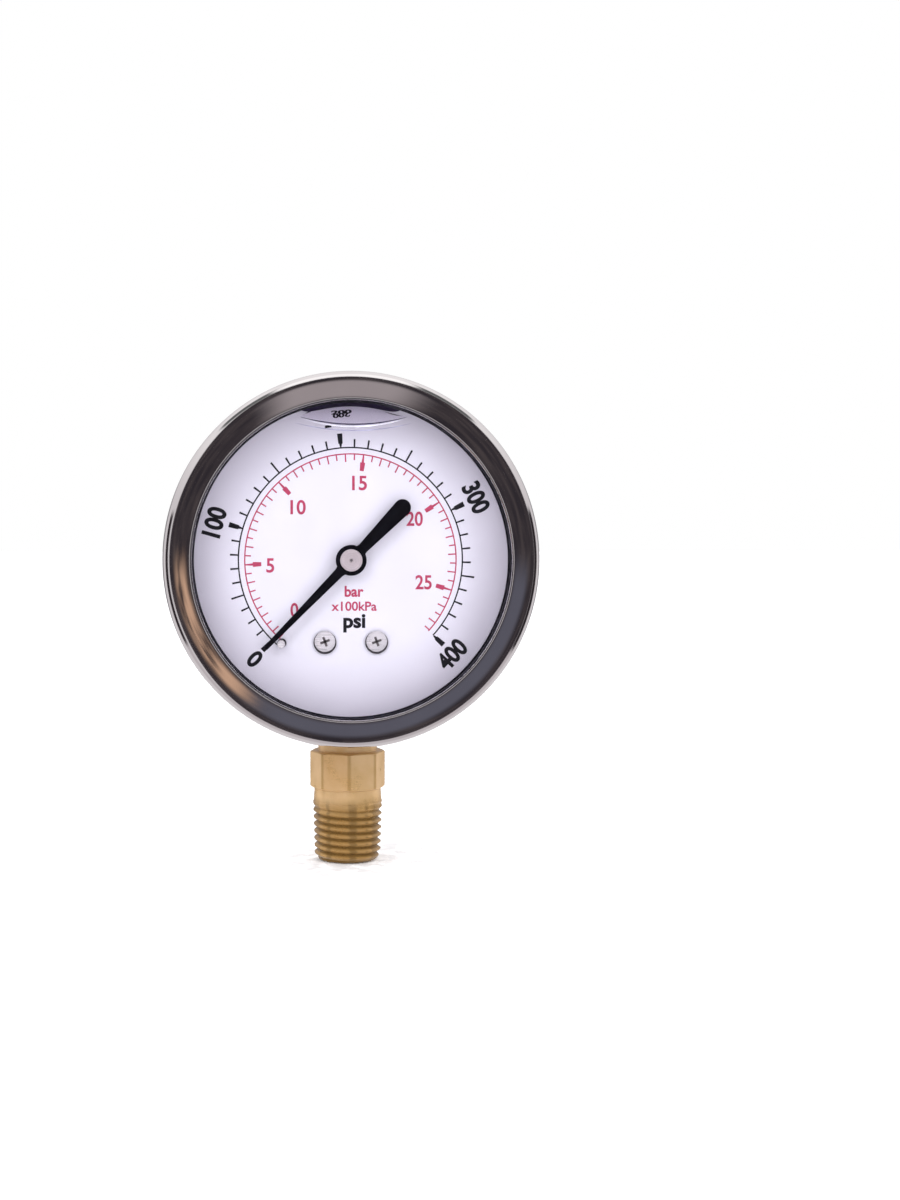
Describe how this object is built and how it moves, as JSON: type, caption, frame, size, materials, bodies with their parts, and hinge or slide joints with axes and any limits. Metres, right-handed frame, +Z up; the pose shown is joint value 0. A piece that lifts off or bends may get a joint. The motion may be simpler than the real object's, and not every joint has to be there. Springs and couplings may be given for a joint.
{
  "type": "pressure gauge",
  "caption": "Liquid-filled dial pressure gauge: steel case, crimped bezel, clear window, brass bottom stem, Bourdon tube, geared movement and pointer.",
  "frame": {"origin": "centre of the stem's threaded end, on the stem's axis", "axes": "+Z up along the stem towards the dial centre, the dial faces -Y, +X to the reader's right"},
  "size_m": [0.0704, 0.0315, 0.0946],
  "materials": {
    "case_steel": "polished stainless steel",
    "bezel_steel": "polished stainless steel, crimped",
    "window_clear": "clear, glossy",
    "gasket_rubber": "matt black",
    "plug_rubber": "satin black",
    "stem_brass": "machined brass",
    "washer_steel": "stained steel",
    "seal_rubber": "matt black",
    "restrictor_brass": "machined brass",
    "tube_bronze": "drawn phosphor bronze",
    "movement_brass": "stamped brass",
    "pin_steel": "turned steel",
    "link_steel": "stamped steel",
    "arbor_steel": "cut steel",
    "hairspring_bronze": "drawn bronze strip",
    "screw_steel": "zinc plated",
    "dial_screw_steel": "plated, satin",
    "dial_enamel": "white enamelled aluminium, black and red print",
    "pointer_black": "black anodised",
    "bush_steel": "satin"
  },
  "bodies": {
    "gauge_body": {"case": "case_steel", "bezel": "bezel_steel", "window": "window_clear", "window_gasket": "gasket_rubber", "stem": "stem_brass", "stem_washer": "washer_steel", "stem_seal": "seal_rubber", "restrictor_screw": "restrictor_brass", "bourdon_tube": "tube_bronze", "movement_back_plate": "movement_brass", "movement_front_plate": "movement_brass", "movement_pillar_left": "movement_brass", "movement_pillar_right": "movement_brass", "movement_screw_left": "screw_steel", "movement_screw_right": "screw_steel", "plate_screw_left": "screw_steel", "plate_screw_right": "screw_steel", "dial_post_left": "movement_brass", "dial_post_right": "movement_brass", "dial": "dial_enamel", "dial_screw_left": "dial_screw_steel", "dial_screw_right": "dial_screw_steel", "stop_pin": "pin_steel", "hairspring": "hairspring_bronze", "hairspring_stud": "movement_brass"},
    "pointer_spindle": {"pinion_arbor": "arbor_steel", "hairspring_collet": "movement_brass", "pointer": "pointer_black", "pointer_bush": "bush_steel"},
    "sector": {"sector_gear": "movement_brass", "sector_arbor": "pin_steel", "sector_pin": "pin_steel"},
    "tube_end": {"tube_tip": "movement_brass", "tip_pin": "pin_steel"},
    "tip_link": {"link": "link_steel"},
    "vent_plug": {"fill_plug": "plug_rubber"}
  },
  "joints": [
    {"name": "pointer_turn", "type": "hinge", "parent": "gauge_body", "child": "pointer_spindle", "pos_m": [0, -0.01, 0.0594], "axis": [0, 1, 0], "range_deg": [0, 268.1], "stiffness_Nm_per_rad": 0.0001, "springref_deg": -11.46, "deforming": ["hairspring"]},
    {"name": "sector_swing", "type": "hinge", "parent": "gauge_body", "child": "sector", "pos_m": [0, -0.0079, 0.0432], "axis": [0, 1, 0], "range_deg": [-33.56, 0]},
    {"name": "tip_slide", "type": "slide", "parent": "gauge_body", "child": "tube_end", "axis": [1, 0, 0], "range_m": [0, 0.00283], "deforming": ["bourdon_tube"]},
    {"name": "link_swing", "type": "hinge", "parent": "tube_end", "child": "tip_link", "pos_m": [0.0109, -0.00895, 0.0389], "axis": [0, 1, 0], "range_deg": [0, 2.8]},
    {"name": "plug_pull", "type": "slide", "parent": "gauge_body", "child": "vent_plug", "axis": [0, 0, 1], "range_m": [0, 0.01]}
  ],
  "couplings": [
    {"joint": "pointer_turn", "follows": "tip_slide", "rad_per_m": 1652},
    {"joint": "sector_swing", "follows": "tip_slide", "rad_per_m": -206.5},
    {"joint": "link_swing", "follows": "tip_slide", "rad_per_m": 16.607}
  ]
}
